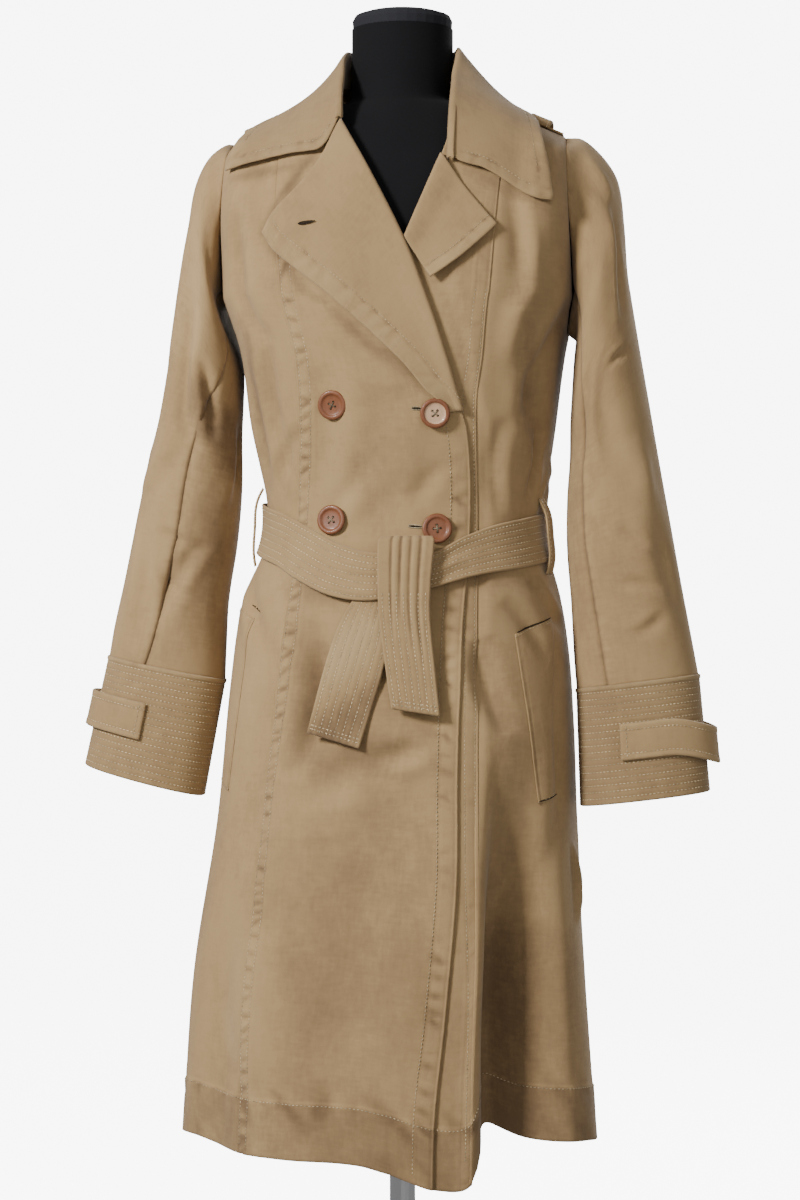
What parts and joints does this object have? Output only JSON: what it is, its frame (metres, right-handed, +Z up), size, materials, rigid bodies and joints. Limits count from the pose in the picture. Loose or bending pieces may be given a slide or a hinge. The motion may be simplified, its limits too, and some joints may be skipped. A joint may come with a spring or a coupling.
{
  "type": "trench coat on a dress form",
  "caption": "Knee-length belted double-breasted trench coat with notched lapels and deep stitched cuffs, worn by a limbless dress form on a round-based stand.",
  "frame": {"origin": "centre of the stand base's underside, on the floor", "axes": "+Z up, the coat faces -Y, and the wearer's right side is -X"},
  "size_m": [0.6128, 0.37, 1.528],
  "materials": {
    "twill": "matt cotton twill",
    "twill_under": "matt cotton twill, under layer",
    "twill_turned": "matt cotton twill, turned and stitched",
    "button_brown": "reddish brown, four holes",
    "button_cream": "pinkish cream disc in a brown rim",
    "jersey": "black stretch jersey",
    "jersey_cap": "black jersey cap",
    "steel": "brushed"
  },
  "bodies": {
    "root": {"front_right_centre": "twill", "front_right_side": "twill", "front_left_centre": "twill_under", "front_left_side": "twill", "back": "twill", "lapel_right": "twill_turned", "lapel_left": "twill_turned", "collar": "twill_turned", "sleeve_right_upper": "twill", "sleeve_right_under": "twill", "sleeve_left_upper": "twill", "sleeve_left_under": "twill", "cuff_right": "twill_turned", "cuff_left": "twill_turned", "cuff_strap_right": "twill", "cuff_strap_left": "twill", "belt": "twill_turned", "belt_loop_right": "twill", "belt_loop_left": "twill", "belt_knot": "twill_turned", "belt_tail_front": "twill_turned", "belt_tail_back": "twill_turned", "button_upper_right": "button_brown", "button_upper_left": "button_cream", "button_lower_right": "button_brown", "button_lower_left": "button_brown", "pocket_welt_right": "twill", "pocket_welt_left": "twill", "epaulette_right": "twill_turned", "epaulette_left": "twill_turned", "epaulette_keeper_right": "twill_turned", "epaulette_keeper_left": "twill_turned", "form_torso": "jersey", "form_cap": "jersey_cap", "stand_pole": "steel", "stand_base": "steel"}
  },
  "joints": []
}
